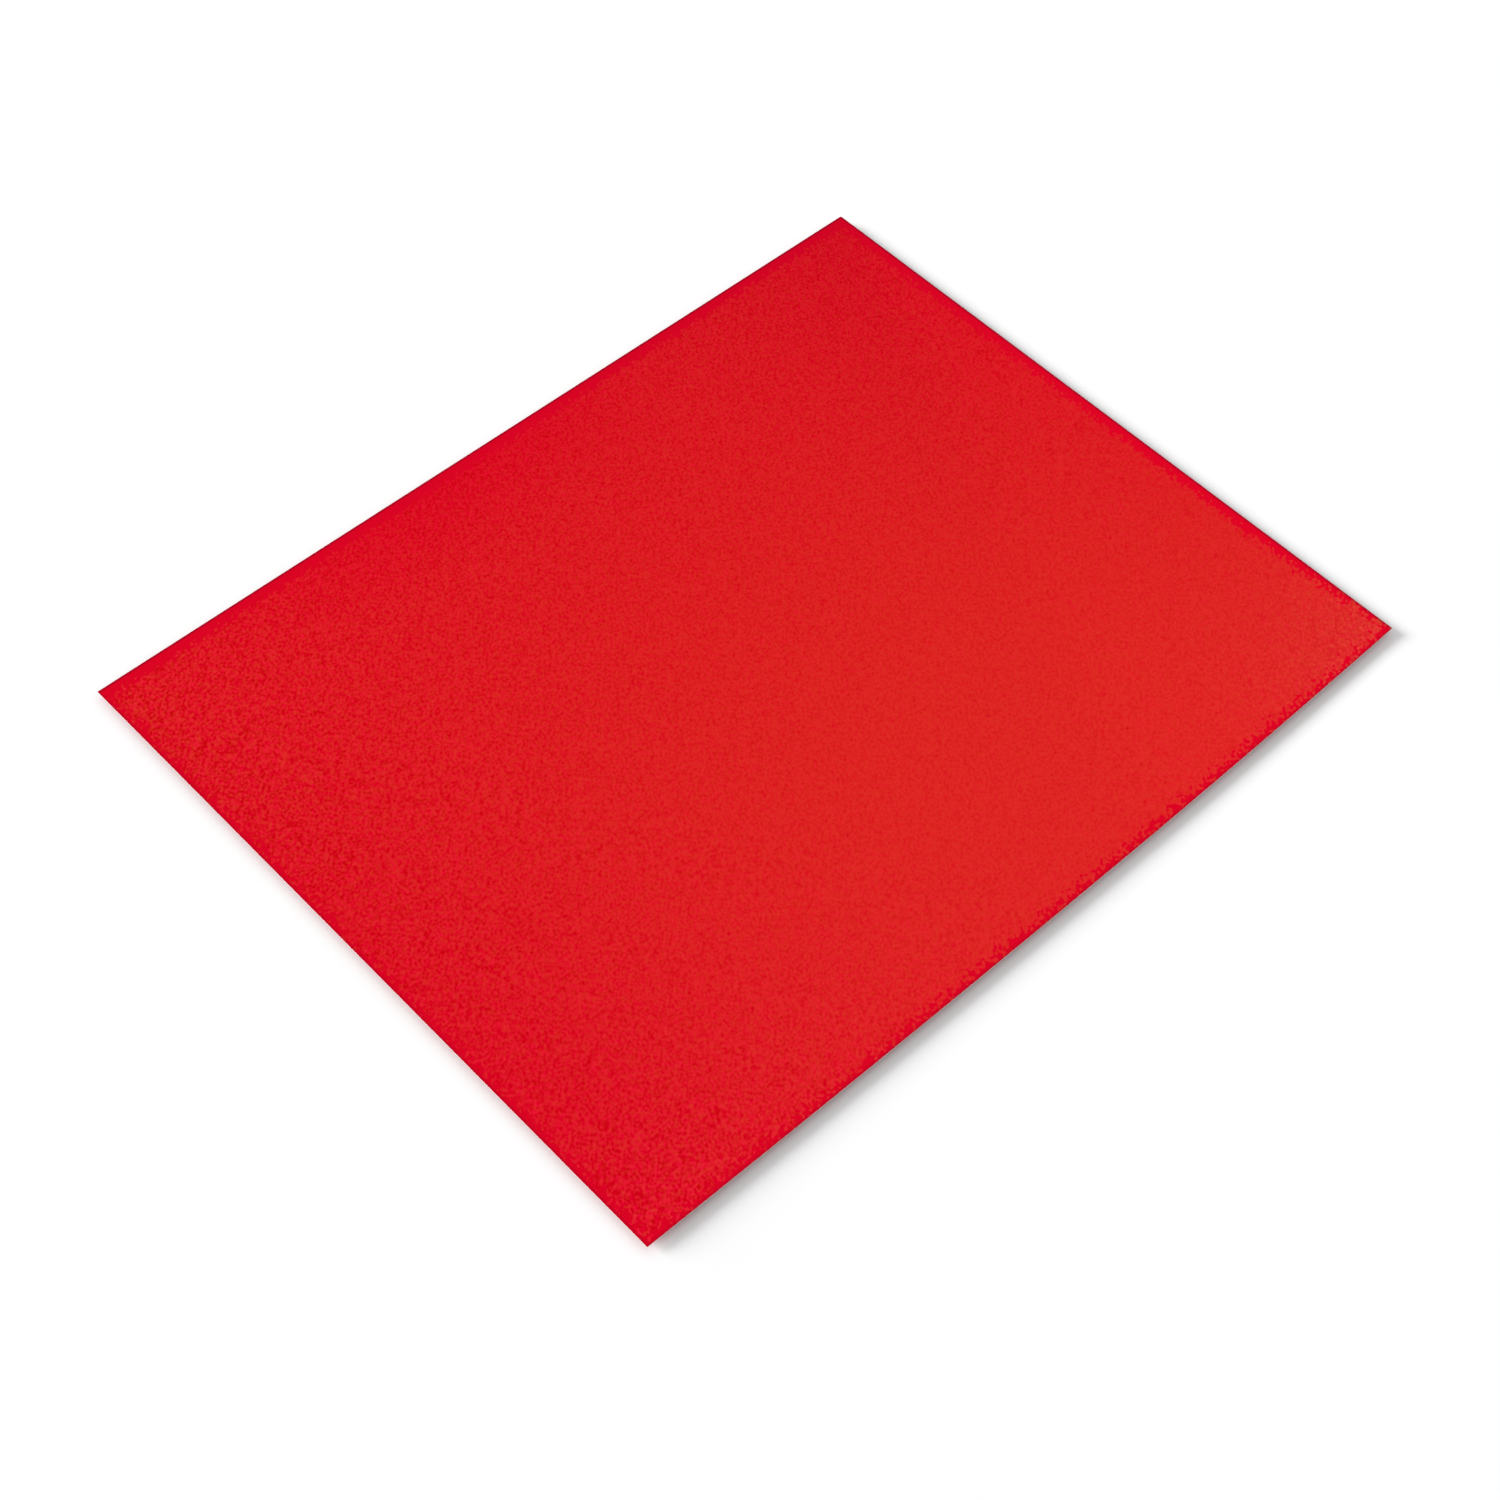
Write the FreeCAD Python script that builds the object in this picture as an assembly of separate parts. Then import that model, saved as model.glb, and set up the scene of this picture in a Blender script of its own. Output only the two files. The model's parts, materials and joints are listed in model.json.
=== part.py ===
"""A sheet of four-ply coloured board, 22 x 28 inches, lying on a flat surface with its natural curl.

Units are millimetres and +Z is up. The origin is on the surface that the sheet lies on, under the
middle of the sheet. X runs along the long side and Y along the short side.

The board is a stack of six layers bonded face to face: a colour coat on each face, and between
them four plies of pulp. It curls as a stiff sheet does, without stretching. The back edge (+Y) is
straight and lies flat. The front edge (-Y) touches down at one point. The triangle between that
point and the two back corners is flat, and on each side of it a wing curls up to a front corner.
Each wing is part of a cone whose tip is the back corner on its own side, so every edge but
the front one stays straight.
"""
import FreeCAD, Part
import os

MM_PER_INCH = 25.4

SHEET_LENGTH = 28 * MM_PER_INCH      # long side, along X
SHEET_WIDTH = 22 * MM_PER_INCH       # short side, along Y
BOARD_CALIPER = 0.018 * MM_PER_INCH  # whole thickness, which is the usual four-ply caliper
COAT_CALIPER = 0.015                 # colour coat on each face
PLY_COUNT = 4
CURL_RISE = 12.0                     # height of both front corners above the surface
TOUCHDOWN = 0.59                     # where the front edge rests, as a share of its length from -X

PLY_CALIPER = (BOARD_CALIPER - 2 * COAT_CALIPER) / PLY_COUNT

# The layers from the bottom of the stack to the top.
LAYERS = (
    ("back_colour_coat", COAT_CALIPER),
    ("back_liner_ply", PLY_CALIPER),
    ("inner_ply_lower", PLY_CALIPER),
    ("inner_ply_upper", PLY_CALIPER),
    ("front_liner_ply", PLY_CALIPER),
    ("front_colour_coat", COAT_CALIPER),
)


def back_corner(side):
    """A corner of the straight edge, on the -X side (side -1) or the +X side (side 1)."""
    return FreeCAD.Vector(side * SHEET_LENGTH / 2, SHEET_WIDTH / 2, 0)


def front_corner(side):
    """A corner of the curled edge."""
    return FreeCAD.Vector(side * SHEET_LENGTH / 2, -SHEET_WIDTH / 2, CURL_RISE)


def touchdown():
    """The one point of the front edge that rests on the surface."""
    return FreeCAD.Vector((TOUCHDOWN - 0.5) * SHEET_LENGTH, -SHEET_WIDTH / 2, 0)


def front_curve(side):
    """Half of the front edge: a parabola, level at the touchdown, up to one front corner."""
    start = touchdown()
    end = front_corner(side)
    level_pole = FreeCAD.Vector((start.x + end.x) / 2, start.y, start.z)
    curve = Part.BezierCurve()
    curve.setPoles([start, level_pole, end])
    return curve.toShape()


def flat_triangle():
    """The part of the underside that lies on the surface."""
    corners = [back_corner(-1), back_corner(1), touchdown()]
    return Part.Face(Part.makePolygon(corners, True))


def wing(side):
    """One curled part of the underside: a cone from the back corner to half of the front edge."""
    tip = Part.Vertex(back_corner(side))
    return Part.makeLoft([tip, Part.Wire(front_curve(side))], False, True).Faces[0]


def cut_face(edges, caliper):
    """The flat face that the knife left above one side of a layer's underside."""
    lower = Part.Wire(edges)
    upper = lower.translated(FreeCAD.Vector(0, 0, caliper))
    risers = [
        Part.makeLine(lower.OrderedVertexes[end].Point, upper.OrderedVertexes[end].Point)
        for end in (0, -1)
    ]
    outline = Part.__sortEdges__([*lower.Edges, *upper.Edges, *risers])
    return Part.Face(Part.Wire(outline))


def layer_solid(caliper):
    """One layer resting on the surface: its underside, a copy raised by caliper, and its cut faces."""
    underside = [wing(-1), flat_triangle(), wing(1)]
    upper_side = [face.translated(FreeCAD.Vector(0, 0, caliper)) for face in underside]
    cut_faces = [
        cut_face([Part.makeLine(back_corner(-1), back_corner(1))], caliper),
        cut_face([Part.makeLine(back_corner(-1), front_corner(-1))], caliper),
        cut_face([Part.makeLine(back_corner(1), front_corner(1))], caliper),
        cut_face([front_curve(-1), front_curve(1)], caliper),
    ]
    shell = Part.makeShell([*underside, *upper_side, *cut_faces])
    shell.sewShape()
    return Part.makeSolid(shell)


def main():
    os.makedirs("parts", exist_ok=True)
    height = 0
    for name, caliper in LAYERS:
        layer = layer_solid(caliper).translated(FreeCAD.Vector(0, 0, height))
        layer.exportStep(f"parts/{name}.step")
        height += caliper


main()
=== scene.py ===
"""Looks of a 22 x 28 inch sheet of red four-ply coloured board, lying with its natural curl."""
import json
import math

import bpy
import numpy as np
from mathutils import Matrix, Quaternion, Vector


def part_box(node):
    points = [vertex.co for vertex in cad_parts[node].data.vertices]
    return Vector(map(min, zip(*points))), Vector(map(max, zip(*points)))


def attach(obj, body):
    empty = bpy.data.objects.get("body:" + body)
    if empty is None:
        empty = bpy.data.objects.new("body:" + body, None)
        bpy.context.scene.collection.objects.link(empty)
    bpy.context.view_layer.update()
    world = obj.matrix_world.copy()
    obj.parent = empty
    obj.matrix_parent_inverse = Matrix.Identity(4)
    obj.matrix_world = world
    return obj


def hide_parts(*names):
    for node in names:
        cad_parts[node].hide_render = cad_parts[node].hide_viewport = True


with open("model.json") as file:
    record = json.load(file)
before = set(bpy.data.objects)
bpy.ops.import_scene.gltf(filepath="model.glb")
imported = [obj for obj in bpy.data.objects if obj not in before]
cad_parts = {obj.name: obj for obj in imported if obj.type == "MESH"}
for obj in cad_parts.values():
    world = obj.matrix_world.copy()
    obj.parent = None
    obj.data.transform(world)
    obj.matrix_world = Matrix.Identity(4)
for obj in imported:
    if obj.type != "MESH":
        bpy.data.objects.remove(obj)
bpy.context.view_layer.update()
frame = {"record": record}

MM = 0.001

# ---- The sheet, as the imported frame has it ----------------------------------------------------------
# Layers run from the face that lies down up to the face that looks up.

CAD_NODES = (
    "back_colour_coat",
    "back_liner_ply",
    "inner_ply_lower",
    "inner_ply_upper",
    "front_liner_ply",
    "front_colour_coat",
)
LOW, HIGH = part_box(CAD_NODES[0])
LENGTH = HIGH.x - LOW.x
WIDTH = HIGH.y - LOW.y
COAT_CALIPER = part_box(CAD_NODES[1])[0].z
CURL_RISE = HIGH.z - COAT_CALIPER
LEVELS = [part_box(node)[0].z for node in CAD_NODES]
LEVELS.append(LEVELS[-1] + COAT_CALIPER)
CALIPER = LEVELS[-1]
MOUNTS = {mount["name"]: mount for mount in frame["record"]["mounts"]}
TOUCHDOWN = MOUNTS["front_long_edge"]["pos_m"][0] / LENGTH + 0.5

# ---- Camera -----------------------------------------------------------------------------------------

CAMERA_AZIMUTH = math.radians(-47.468)
CAMERA_ELEVATION = math.radians(54.738)
CAMERA_ROLL = math.radians(5.091)
CAMERA_AIM = Vector((-53.80 * MM, -49.75 * MM, CALIPER))
CAMERA_DISTANCE = 1849.8 * MM
CAMERA_LENS = 65.15
CAMERA_SENSOR = 36.0


def add_camera():
    data = bpy.data.cameras.new("camera")
    data.lens = CAMERA_LENS
    data.sensor_width = CAMERA_SENSOR
    camera = bpy.data.objects.new("camera", data)
    bpy.context.scene.collection.objects.link(camera)
    flat = math.cos(CAMERA_ELEVATION)
    back = Vector((
        math.sin(CAMERA_AZIMUTH) * flat,
        -math.cos(CAMERA_AZIMUTH) * flat,
        math.sin(CAMERA_ELEVATION),
    ))
    camera.location = CAMERA_AIM + back * CAMERA_DISTANCE
    level = (-back).to_track_quat("-Z", "Y")
    camera.rotation_mode = "QUATERNION"
    camera.rotation_quaternion = level @ Quaternion((0, 0, 1), CAMERA_ROLL)
    bpy.context.scene.camera = camera


# ---- Shape ------------------------------------------------------------------------------------------

GRID_STEP = 9 * MM                                   # spacing of the mesh away from the edges
RIM_STEPS = [s * MM for s in (0.15, 0.4, 0.8, 1.4, 2.5, 5)]  # distance of the mesh lines near an edge
ROLL_DEPTH = 0.05 * MM                               # the knife rolls the coloured face down this much
ROLL_REACH = 0.35 * MM
RAGGED = 0.02 * MM                                   # how far the fibres of a cut edge stand in and out
RAGGED_WAVES = (0.83, 1.91)                          # radians to the millimetre of the two waves they follow
RAGGED_SLANT = 1.7                                   # makes the short sides differ from the long ones
RAGGED_SHIFT = 1.3                                   # radians by which each layer differs from the one below
APEX_GAP = 1e-9                                      # keeps the curl from dividing by 0 on the back edge
SHARP_ANGLE = math.radians(40)                       # faces that meet at more than this keep a sharp edge
CORNER_RADII = {                                     # how blunt each corner is, by the signs of x and y
    (1, 1): 1.5 * MM,
    (-1, 1): 0.5 * MM,
    (-1, -1): 0.5 * MM,
    (1, -1): 0.6 * MM,
}


def mesh_lines(size):
    """Places of the mesh lines across a side: close together near both ends and even between them."""
    half = size / 2
    inner = half - RIM_STEPS[-1]
    count = round(2 * inner / GRID_STEP)
    even = np.linspace(-inner, inner, count + 1)
    rim = half - np.array([0.0] + RIM_STEPS[:-1])
    return np.concatenate([-rim, even, rim[::-1]])


def curl(x, y):
    """Height of the sheet's underside: a flat triangle, and a cone-shaped wing on each side of it."""
    along = x / LENGTH + 0.5
    forward = np.maximum(0.5 - y / WIDTH, APEX_GAP)
    left = np.clip((TOUCHDOWN - along / forward) / TOUCHDOWN, 0, None)
    right = np.clip(1 - (1 - along) / (forward * (1 - TOUCHDOWN)), 0, None)
    return CURL_RISE * forward * (left ** 2 + right ** 2)


def rim_distance(x, y):
    """Distance to the nearest edge of the sheet."""
    return np.minimum(LENGTH / 2 - abs(x), WIDTH / 2 - abs(y))


def surface(x, y, level):
    """Height of the surface that lies at that level of the caliper where the sheet is flat."""
    share = level / CALIPER
    rolled = ROLL_DEPTH * np.exp(-rim_distance(x, y) / ROLL_REACH)
    return curl(x, y) + level - rolled * share ** 2


def blunt_corners(x, y):
    """The same points with each corner of the outline rounded."""
    x, y = x.copy(), y.copy()
    for (side_x, side_y), radius in CORNER_RADII.items():
        a = (side_x * x - LENGTH / 2) / radius + 1
        b = (side_y * y - WIDTH / 2) / radius + 1
        inside = (a > 0) & (b > 0)
        a, b = a[inside], b[inside]
        x[inside] += side_x * radius * (a * np.sqrt(1 - b * b / 2) - a)
        y[inside] += side_y * radius * (b * np.sqrt(1 - a * a / 2) - b)
    return x, y


def drawn_in(x, y, inset, phase):
    """The same points with the outermost ones drawn in by inset and a ragged amount."""
    on_x = LENGTH / 2 - abs(x) < RIM_STEPS[0] / 2
    on_y = WIDTH / 2 - abs(y) < RIM_STEPS[0] / 2
    run = (x + RAGGED_SLANT * y) / MM
    slow, quick = RAGGED_WAVES
    ragged = RAGGED * (np.sin(slow * run + phase) + np.sin(quick * run + 2 * phase)) / 2
    depth = inset + abs(ragged)
    return x - np.sign(x) * depth * on_x, y - np.sign(y) * depth * on_y


def grid_faces(columns, rows):
    """Quads between neighbouring points of a grid, facing up."""
    index = np.arange(columns * rows).reshape(columns, rows)
    quads = np.stack([index[:-1, :-1], index[1:, :-1], index[1:, 1:], index[:-1, 1:]], axis=-1)
    return quads.reshape(-1, 4)


def outline_points(columns, rows):
    """The grid's outermost points in order, seen from above anticlockwise."""
    index = np.arange(columns * rows).reshape(columns, rows)
    return np.concatenate([index[:-1, 0], index[-1, :-1], index[:0:-1, -1], index[0, :0:-1]])


def layer_mesh(name, lower, upper, inset, phase):
    """A closed mesh between two levels of the sheet."""
    x, y = np.meshgrid(mesh_lines(LENGTH), mesh_lines(WIDTH), indexing="ij")
    columns, rows = x.shape
    heights = [surface(x, y, level) for level in (lower, upper)]
    x, y = drawn_in(x, y, inset, phase)
    x, y = blunt_corners(x, y)
    points = [np.stack([x, y, z], axis=-1).reshape(-1, 3) for z in heights]
    raised = columns * rows
    quads = grid_faces(columns, rows)
    outline = outline_points(columns, rows)
    following = np.roll(outline, -1)
    walls = np.stack([outline, following, following + raised, outline + raised], axis=-1)
    mesh = bpy.data.meshes.new(name)
    faces = np.concatenate([quads[:, ::-1], quads + raised, walls])
    mesh.from_pydata(np.concatenate(points).tolist(), [], faces.tolist())
    mesh.shade_smooth()
    mesh.set_sharp_from_angle(angle=SHARP_ANGLE)
    return mesh


# ---- Materials --------------------------------------------------------------------------------------

# Places and sizes are in millimetres here, and tones are display values from 0 to 255.

HALF_LENGTH = LENGTH / 2 / MM
HALF_WIDTH = WIDTH / 2 / MM

LIGHT_LEVEL = 1.31                                   # studio light on a level surface, 1 showing as white
DISPLAY_WHITE = 255
DISPLAY_POWER = 2.4                                  # power of the display curve
DISPLAY_FOOT = 0.055                                 # offset of the display curve

NOISE_SPREAD = 9.0                                   # brings the noise to a usual size of 1
GRAIN_LINE = math.radians(42.5)                      # the coat's grain is a little longer along this line
GRAIN_STRETCH = 1.22
GRAIN_SIZE = 1.95
MOTTLE_SIZE = 6.0
HUE_SIZE = 2.7
CRUMB_SIZE = 2.6                                     # the ragged inner line of the crimson border
SPECK_SPACING = 13.0
SPECK_RADIUS = 1.5
SPECK_LEAST = 0.1                                    # radius of the smaller half, too small to see
GRAIN_TONES = (  # for red, green and blue: how much the grain, its change of hue and a speck alter them
    (0.45, 0.5, -11),
    (0.85, -0.8, -17),
    (0.5, 0.55, -4),
)
CRIMSON = (220, 1.5, 35)                             # the coat along its edges
BACK_RIGHT_PAINTED_SHADE = 12                                # painted shade: how much less red the back right corner is painted
RIM_START = 2.5                                      # how far in from the edge the dark rim starts
RIM_FULL = 0.8                                       # how far in it is at its darkest
COAT_ROUGHNESS = 0.72
ROUGHNESS_DRIFT = 0.14
COAT_SPECULAR = 0.01
COAT_GLINT = (1.0, 0.04, 0.04, 1.0)
COAT_RELIEF = 0.02 * MM                              # reliefs are in metres

FIBRE_SIZE = 0.5
FIBRE_FLATNESS = 6                                   # how many times longer than tall a fibre is
GREY_SIZE = 1.8                                      # of the greyer specks in the pulp
PULP_ROUGHNESS = 0.9
PULP_SPECULAR = 0.2
PULP_RELIEF = 0.04 * MM


class Value:
    """A number that varies over a surface. Arithmetic on it adds the nodes that work it out."""

    def __init__(self, nodes, socket):
        self.nodes = nodes
        self.socket = socket

    def __add__(self, other):
        return self.nodes.math("ADD", self, other)

    def __sub__(self, other):
        return self.nodes.math("SUBTRACT", self, other)

    def __rsub__(self, other):
        return self.nodes.math("SUBTRACT", other, self)

    def __mul__(self, other):
        return self.nodes.math("MULTIPLY", self, other)

    def __truediv__(self, other):
        return self.nodes.math("DIVIDE", self, other)

    __radd__ = __add__
    __rmul__ = __mul__


class Nodes:
    """A material's node tree, with short calls for the nodes used here."""

    def __init__(self, name):
        self.material = bpy.data.materials.new(name)
        self.material.use_nodes = True
        self.tree = self.material.node_tree
        self.shader = self.tree.nodes["Principled BSDF"]
        texture_place = self.new("ShaderNodeTexCoord").outputs["Object"]
        self.place = self.vector("SCALE", texture_place, scale=1 / MM)
        self.grain_place = self.stretched(GRAIN_LINE, GRAIN_STRETCH)

    def new(self, kind, **settings):
        node = self.tree.nodes.new(kind)
        for name, value in settings.items():
            setattr(node, name, value)
        return node

    def feed(self, item, socket):
        if isinstance(item, Value):
            item = item.socket
        if isinstance(item, bpy.types.NodeSocket):
            self.tree.links.new(item, socket)
        else:
            socket.default_value = item

    def math(self, operation, *items):
        node = self.new("ShaderNodeMath", operation=operation)
        for item, socket in zip(items, node.inputs):
            self.feed(item, socket)
        return Value(self, node.outputs[0])

    def vector(self, operation, *items, scale=None):
        node = self.new("ShaderNodeVectorMath", operation=operation)
        for item, socket in zip(items, node.inputs):
            self.feed(item, socket)
        if scale is not None:
            self.feed(scale, node.inputs["Scale"])
        return node.outputs[0]

    def stretched(self, angle, factor):
        """Places for a texture that is drawn out by that factor along a line at that angle from X."""
        node = self.new("ShaderNodeMapping", vector_type="TEXTURE")
        self.feed(self.place, node.inputs["Vector"])
        node.inputs["Rotation"].default_value = (0, 0, angle)
        node.inputs["Scale"].default_value = (factor, 1, 1)
        return node.outputs[0]

    def ramp(self, item, start, end, kind="SMOOTHSTEP"):
        """0 before start, 1 after end, and a smooth change between them."""
        node = self.new("ShaderNodeMapRange", interpolation_type=kind)
        for value, socket in zip((item, start, end), node.inputs):
            self.feed(value, socket)
        return Value(self, node.outputs[0])

    def swell(self, item, start, end):
        """0 before start, growing ever faster to 1 at end."""
        share = self.ramp(item, start, end, "LINEAR")
        return share * share

    def noise(self, grain, detail=0.0, roughness=0.5, seed=0.0, place=None):
        """Noise from 0 to 1 whose waves are about as long as grain."""
        node = self.new("ShaderNodeTexNoise")
        self.feed(self.vector("ADD", place or self.place, (seed, 2 * seed, 0)), node.inputs["Vector"])
        node.inputs["Scale"].default_value = 1 / grain
        node.inputs["Detail"].default_value = detail
        node.inputs["Roughness"].default_value = roughness
        return Value(self, node.outputs["Fac"])

    def even_noise(self, grain, seed):
        """Noise of the coat's grain, spread about 0 with a usual size of 1."""
        return (self.noise(grain, seed=seed, place=self.grain_place) - 0.5) * NOISE_SPREAD

    def blend(self, share, first, second):
        """The first where share is 0, the second where it is 1."""
        return first + share * (second - first)

    def display_colour(self, red, green, blue):
        """The surface colour that shows as these tones in the studio light."""
        combine = self.new("ShaderNodeCombineXYZ")
        for item, socket in zip((red, green, blue), combine.inputs):
            self.feed(self.math("MAXIMUM", item, 0.0), socket)
        top = 1 + DISPLAY_FOOT
        slope = (1 / (DISPLAY_WHITE * top),) * 3
        bent = self.vector("MULTIPLY_ADD", combine.outputs[0], slope, (DISPLAY_FOOT / top,) * 3)
        curve = self.new("ShaderNodeGamma")
        self.feed(bent, curve.inputs["Color"])
        curve.inputs["Gamma"].default_value = DISPLAY_POWER
        return self.vector("SCALE", curve.outputs[0], scale=1 / LIGHT_LEVEL)

    def colours(self, item, low, low_colour, high, high_colour):
        """One colour at and below low, another at and above high, and a change between them."""
        node = self.new("ShaderNodeMix", data_type="RGBA")
        self.feed(self.ramp(item, low, high, "LINEAR"), node.inputs["Factor"])
        node.inputs["A"].default_value = low_colour
        node.inputs["B"].default_value = high_colour
        return node.outputs["Result"]

    def bump(self, height, depth):
        """Relief that stands depth metres tall where height is 1."""
        node = self.new("ShaderNodeBump")
        node.inputs["Distance"].default_value = depth
        self.feed(height, node.inputs["Height"])
        self.feed(node.outputs["Normal"], self.shader.inputs["Normal"])


class Regions:
    """The parts of the sheet where the coat's tone differs, each as a share from 0 to 1. The numbers are
    the places along x or y where a change starts and ends."""

    def __init__(self, nodes, x, y):
        ramp, swell = nodes.ramp, nodes.swell
        self.left = swell(x, 70, -HALF_LENGTH)
        self.right = swell(x, 105, HALF_LENGTH) * ramp(y, -280, -20)
        self.right_wing = ramp(x, 150, HALF_LENGTH) * ramp(y, 290, -120)
        self.front = swell(y, 110, -HALF_WIDTH)
        self.front_left = self.left * swell(y, -150, -HALF_WIDTH)
        # front right corner: carries the painted sheen of green and blue, and changes the grain and border
        self.front_right = swell(x, 150, HALF_LENGTH) * swell(y, -150, -HALF_WIDTH)
        self.back = ramp(y, -185, 315)
        self.back_left = self.left * self.back
        self.back_middle = ramp(y, 190, 275) * ramp(nodes.math("ABSOLUTE", x + 70), 260, 0)
        # the back right corner, where painted shade makes the red darker
        self.back_right_painted_shade = swell(x, -325, HALF_LENGTH) * swell(y, -167, HALF_WIDTH)


def plain_tones(parts):
    """Red, green and blue of the coat away from its edges, without its grain. Painted shade takes red off in
    the back right corner, and a painted sheen lifts green and blue in the front right corner.
    """
    # Painted shade: less red in the back right corner.
    red = 221 + 2.5 * parts.front - BACK_RIGHT_PAINTED_SHADE * parts.back_right_painted_shade - 5.5 * parts.right_wing
    green = 37.3 - 20.5 * parts.left - 15.5 * parts.back - 7 * parts.right
    # Painted sheen: the front right terms of green and blue lift them as a sheen would.
    green = green + 22 * parts.back_left - 11.5 * parts.back_middle + 11 * parts.front_right
    blue = 32.6 + 1.5 * parts.left + 4.4 * parts.front + 8 * parts.front_right
    return red, green, blue


def specks(nodes):
    """Small round spots of differing size, at most one to each patch of their spacing."""
    node = nodes.new("ShaderNodeTexVoronoi")
    nodes.feed(nodes.place, node.inputs["Vector"])
    node.inputs["Scale"].default_value = 1 / SPECK_SPACING
    chance = nodes.new("ShaderNodeSeparateColor")
    nodes.feed(node.outputs["Color"], chance.inputs[0])
    radius = nodes.math("MAXIMUM", (2 * Value(nodes, chance.outputs[0]) - 1) * SPECK_RADIUS, SPECK_LEAST)
    distance = Value(nodes, node.outputs["Distance"]) * SPECK_SPACING
    return nodes.ramp(distance, radius, 0.4 * radius)


def grained(nodes, parts, tones):
    """The tones with the coat's grain and specks. The grain is strongest on the left, and leans to dark
    dots except in the front right corner, where it leans to light ones."""
    strength = 3.4 + 5 * parts.left + 3 * parts.back + 4.5 * parts.front_right + 5 * parts.front_left
    grain = 0.98 * nodes.even_noise(GRAIN_SIZE, seed=3) + 0.2 * nodes.even_noise(MOTTLE_SIZE, seed=17)
    lean = 0.13 - 0.3 * parts.front_right
    grain = (grain - lean * (grain * grain - 1)) * strength
    hue = nodes.even_noise(HUE_SIZE, seed=53) * strength * 0.45
    speck = specks(nodes)
    return [
        tone + by_grain * grain + by_hue * hue + by_speck * speck
        for tone, (by_grain, by_hue, by_speck) in zip(tones, GRAIN_TONES)
    ]


def border(nodes, x, y, front_right):
    """1 along the edges, where the coat is crimson, and 0 inside a ragged line. The band is broad and
    whole at the back and on the right, and narrow and broken at the front and in the front right corner."""
    bands = (  # distance from the edge, width of the band, how ragged its line is
        (HALF_WIDTH - y, 10.2, 1.8),
        (HALF_LENGTH - x, nodes.blend(front_right, 8.8, 2.0), nodes.blend(front_right, 1.8, 4.5)),
        (HALF_LENGTH + x, 5.0, 2.4),
        (HALF_WIDTH + y, 4.6, 3.2),
    )
    inside = None
    for distance, width, ragged in bands:
        depth = (width - distance) / ragged
        inside = depth if inside is None else nodes.math("MAXIMUM", inside, depth)
    return nodes.ramp(inside + nodes.even_noise(CRUMB_SIZE, seed=31), -0.5, 0.5)


def darker_rim(nodes, x, y):
    """How much darker the coat is painted at the very edge, most along the back and right edges."""
    edges = (  # distance from the edge, how much darker it is there
        (HALF_WIDTH - y, 50),
        (HALF_LENGTH - x, 44),
        (HALF_LENGTH + x, 25),
        (HALF_WIDTH + y, 22),
    )
    darker = 0.0
    for distance, most in edges:
        darker = nodes.math("MAXIMUM", darker, most * nodes.ramp(distance, RIM_START, RIM_FULL))
    return darker


def coat_material(name):
    """Matt red coat with a fine grain: clear red towards the front and right, deeper and more crimson
    towards the back and left, and crimson along the edges, darker still at the very edge. Painted shade
    makes the back right corner less red, and a painted sheen lifts green and blue in the front right corner."""
    nodes = Nodes(name)
    split = nodes.new("ShaderNodeSeparateXYZ")
    nodes.feed(nodes.place, split.inputs[0])
    x = Value(nodes, split.outputs[0])
    y = Value(nodes, split.outputs[1])
    parts = Regions(nodes, x, y)

    red, green, blue = grained(nodes, parts, plain_tones(parts))
    edge = border(nodes, x, y, parts.front_right)
    # The crimson border gets the same painted shade in the back right corner.
    edge_red = CRIMSON[0] - BACK_RIGHT_PAINTED_SHADE * parts.back_right_painted_shade
    red = nodes.blend(edge, red, edge_red) - darker_rim(nodes, x, y)
    green = nodes.blend(edge, green, CRIMSON[1])
    blue = nodes.blend(edge, blue, CRIMSON[2])

    nodes.feed(nodes.display_colour(red, green, blue), nodes.shader.inputs["Base Color"])
    roughness = COAT_ROUGHNESS + ROUGHNESS_DRIFT * nodes.noise(4.0, 2.0, seed=71)
    nodes.feed(roughness, nodes.shader.inputs["Roughness"])
    nodes.shader.inputs["Specular IOR Level"].default_value = COAT_SPECULAR
    nodes.shader.inputs["Specular Tint"].default_value = COAT_GLINT
    nodes.bump(nodes.noise(1.1, 2.0, 0.6, seed=5), COAT_RELIEF)
    return nodes.material


def pulp_material(name, light, dark, seed):
    """Uncoated pulp, as the cut edges show it: short fibres lying along the sheet, with greyer specks."""
    nodes = Nodes(name)
    along_sheet = nodes.vector("MULTIPLY", nodes.place, (1, 1, FIBRE_FLATNESS))
    fibres = nodes.noise(FIBRE_SIZE, 3.0, 0.6, seed, along_sheet)
    grey = nodes.ramp(nodes.noise(GREY_SIZE, 2.0, 0.6, seed + 9), 0.62, 0.7)
    tone = fibres + 0.4 * grey
    nodes.feed(nodes.colours(tone, 0.25, light, 0.9, dark), nodes.shader.inputs["Base Color"])
    nodes.shader.inputs["Roughness"].default_value = PULP_ROUGHNESS
    nodes.shader.inputs["Specular IOR Level"].default_value = PULP_SPECULAR
    nodes.bump(fibres, PULP_RELIEF)
    return nodes.material


# ---- Pieces -----------------------------------------------------------------------------------------

RED_COAT = coat_material("red_coat")
LINER_PULP = pulp_material("liner_pulp", light=(0.90, 0.87, 0.83, 1), dark=(0.74, 0.70, 0.65, 1), seed=0)
INNER_PULP = pulp_material("inner_pulp", light=(0.84, 0.80, 0.75, 1), dark=(0.60, 0.56, 0.51, 1), seed=60)

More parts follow.
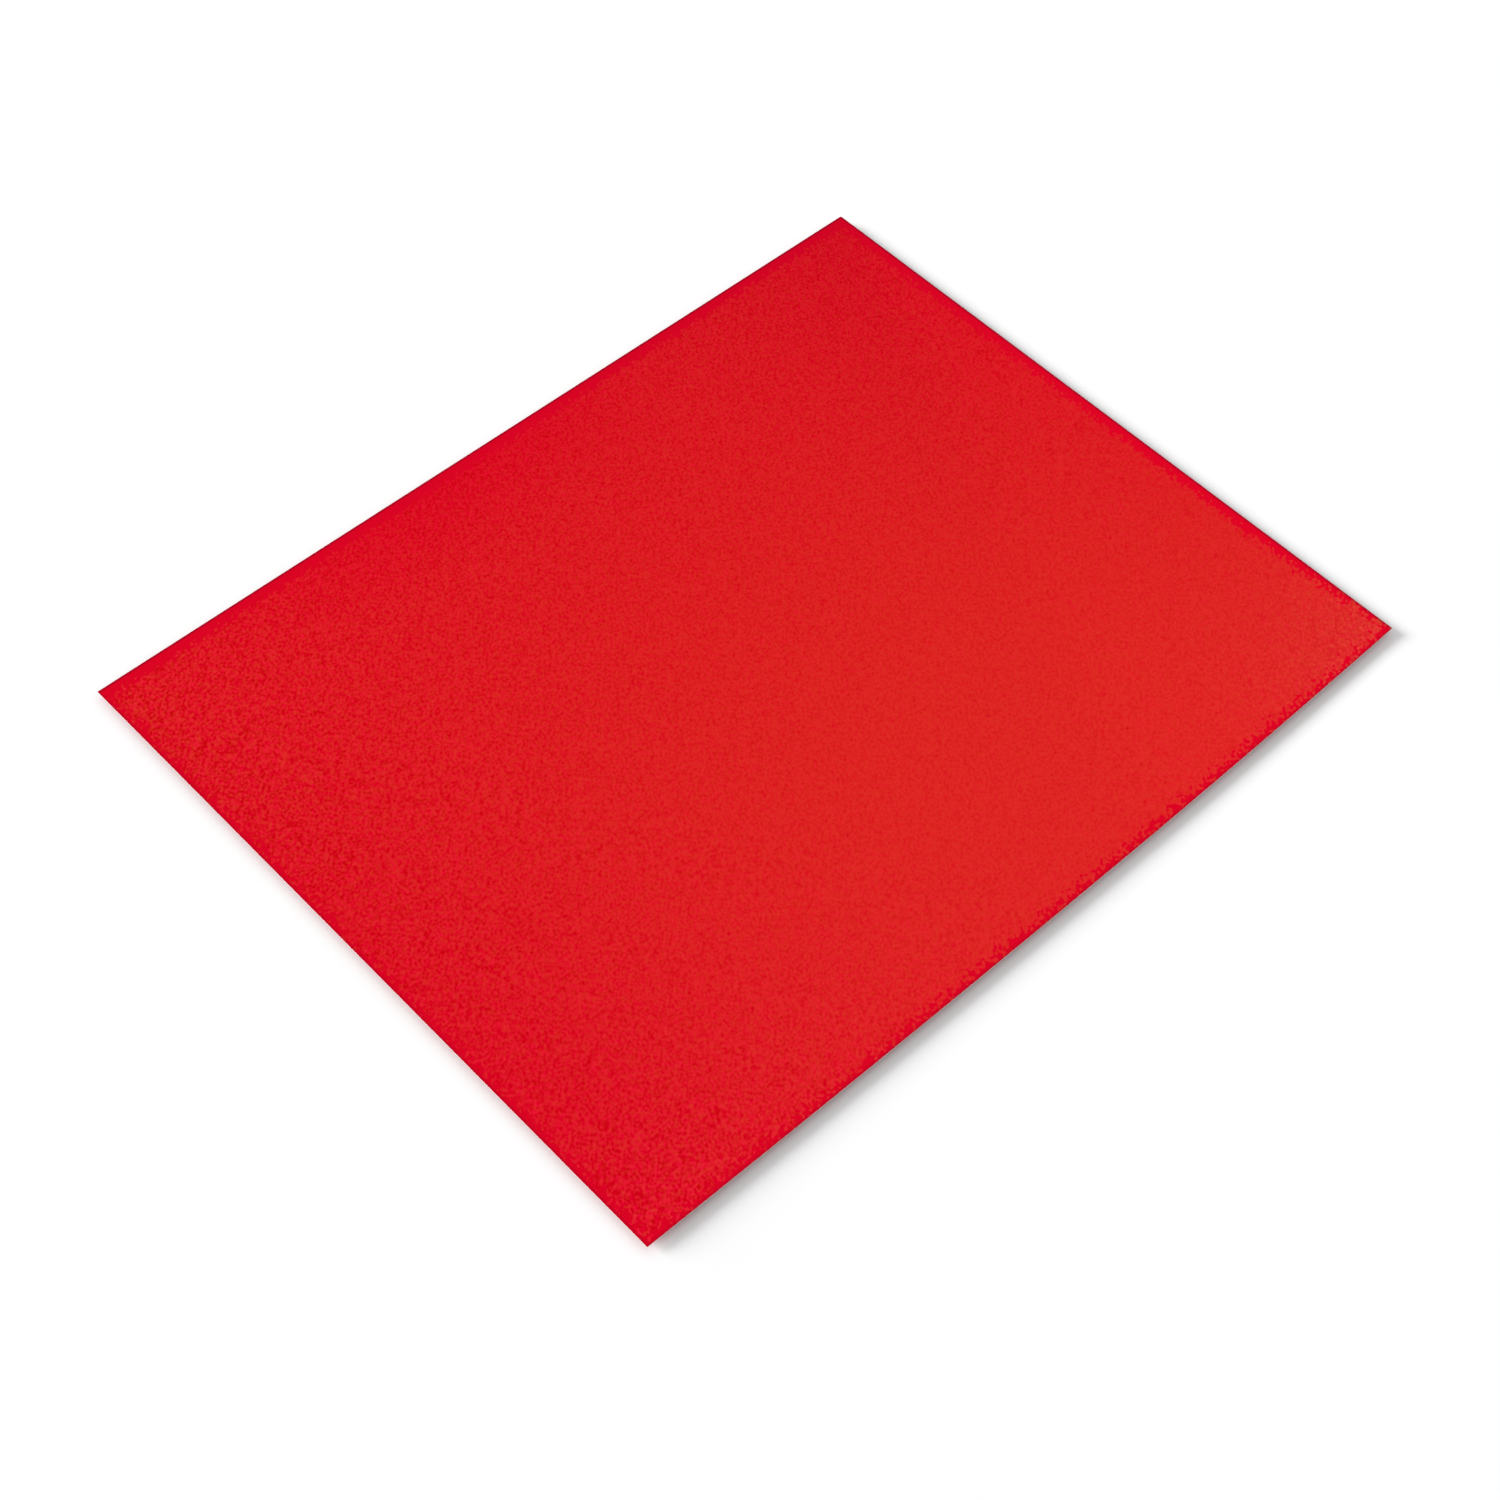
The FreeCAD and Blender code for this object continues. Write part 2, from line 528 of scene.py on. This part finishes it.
LAYERS = (  # name, material, record slot, how far its cut edge stands in
    ("back_coat", RED_COAT, "colour_coat", 0.0),
    ("back_liner", LINER_PULP, "liner_pulp", 0.0),
    ("lower_ply", INNER_PULP, "inner_pulp", 0.02 * MM),
    ("upper_ply", INNER_PULP, "inner_pulp", 0.03 * MM),
    ("front_liner", LINER_PULP, "liner_pulp", 0.015 * MM),
    ("front_coat", RED_COAT, "colour_coat", 0.01 * MM),
)


def add_layers():
    for number, (name, material, slot, inset) in enumerate(LAYERS):
        mesh = layer_mesh(name, LEVELS[number], LEVELS[number + 1], inset, phase=RAGGED_SHIFT * number)
        mesh.materials.append(material)
        piece = bpy.data.objects.new(name, mesh)
        bpy.context.scene.collection.objects.link(piece)
        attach(piece, "root")
        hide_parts(CAD_NODES[number])


# ---- Studio -----------------------------------------------------------------------------------------

FLOOR_WHITE = 0.80
FLOOR_GAP = 6 * MM                                   # even depth of the floor below the sheet
FLOOR_FADE = 1.2                                     # distance over which the floor turns level outside it
FLOOR_NEAR = np.linspace(-0.6, 0.6, 61)              # mesh lines under and around the sheet
FLOOR_FAR = np.array([0.7, 0.85, 1.1, 1.5, 3.0, 20.0])
WALL_LIGHT = 1.0                                     # the room near the horizon
CEILING_LIGHT = 0.76                                 # the room overhead
WALL_TOP = 0.10                                      # sine of the elevation up to which the wall is even
CEILING_START = 0.30                                 # sine of the elevation from which the ceiling is
KEY_LIGHT = 0.525                                    # the key's part of the light level
KEY_ELEVATION = math.radians(22.5)
KEY_AZIMUTH = math.radians(41)                       # from straight behind the sheet towards its left
KEY_SPREAD = math.radians(29)                        # width of the key, as the sheet sees it


def smooth(share):
    """0 to 1, with a level start and end."""
    share = np.clip(share, 0, 1)
    return share * share * (3 - 2 * share)


def floor_height(x, y):
    """The floor follows the sheet's curl at an even depth, so its soft shadow is even along each edge."""
    near_x = np.clip(x, -LENGTH / 2, LENGTH / 2)
    near_y = np.clip(y, -WIDTH / 2, WIDTH / 2)
    outside = np.hypot(x - near_x, y - near_y)
    return curl(near_x, near_y) * (1 - smooth(outside / FLOOR_FADE)) - FLOOR_GAP


def add_floor():
    lines = np.concatenate([-FLOOR_FAR[::-1], FLOOR_NEAR, FLOOR_FAR])
    x, y = np.meshgrid(lines, lines, indexing="ij")
    points = np.stack([x, y, floor_height(x, y)], axis=-1).reshape(-1, 3)
    mesh = bpy.data.meshes.new("floor")
    mesh.from_pydata(points.tolist(), [], grid_faces(*x.shape).tolist())
    mesh.shade_smooth()
    material = bpy.data.materials.new("floor_white")
    material.use_nodes = True
    shader = material.node_tree.nodes["Principled BSDF"]
    shader.inputs["Base Color"].default_value = (FLOOR_WHITE, FLOOR_WHITE, FLOOR_WHITE, 1)
    shader.inputs["Roughness"].default_value = 1.0
    shader.inputs["Specular IOR Level"].default_value = 0.0
    mesh.materials.append(material)
    floor = bpy.data.objects.new("floor", mesh)
    bpy.context.scene.collection.objects.link(floor)


def add_room():
    """A white room, bright low down all round and dimmer overhead."""
    world = bpy.data.worlds.new("studio")
    bpy.context.scene.world = world
    world.use_nodes = True
    tree = world.node_tree
    split = tree.nodes.new("ShaderNodeSeparateXYZ")
    tree.links.new(tree.nodes.new("ShaderNodeTexCoord").outputs["Generated"], split.inputs[0])
    change = tree.nodes.new("ShaderNodeMapRange")
    change.interpolation_type = "SMOOTHSTEP"
    for value, socket in zip((WALL_TOP, CEILING_START, WALL_LIGHT, CEILING_LIGHT), change.inputs[1:5]):
        socket.default_value = value
    tree.links.new(split.outputs["Z"], change.inputs[0])
    tree.links.new(change.outputs[0], tree.nodes["Background"].inputs["Strength"])
    tree.nodes["Background"].inputs["Color"].default_value = (1, 1, 1, 1)


def add_key():
    """A broad soft light behind the sheet, to the left."""
    data = bpy.data.lights.new("key", "SUN")
    data.angle = KEY_SPREAD
    data.energy = KEY_LIGHT * math.pi / math.sin(KEY_ELEVATION)
    key = bpy.data.objects.new("key", data)
    bpy.context.scene.collection.objects.link(key)
    flat = math.cos(KEY_ELEVATION)
    toward = Vector((-math.sin(KEY_AZIMUTH) * flat, math.cos(KEY_AZIMUTH) * flat, math.sin(KEY_ELEVATION)))
    key.rotation_mode = "QUATERNION"
    key.rotation_quaternion = toward.to_track_quat("Z", "Y")


add_camera()
add_layers()
add_floor()
add_room()
add_key()
bpy.context.scene.view_settings.view_transform = "Standard"
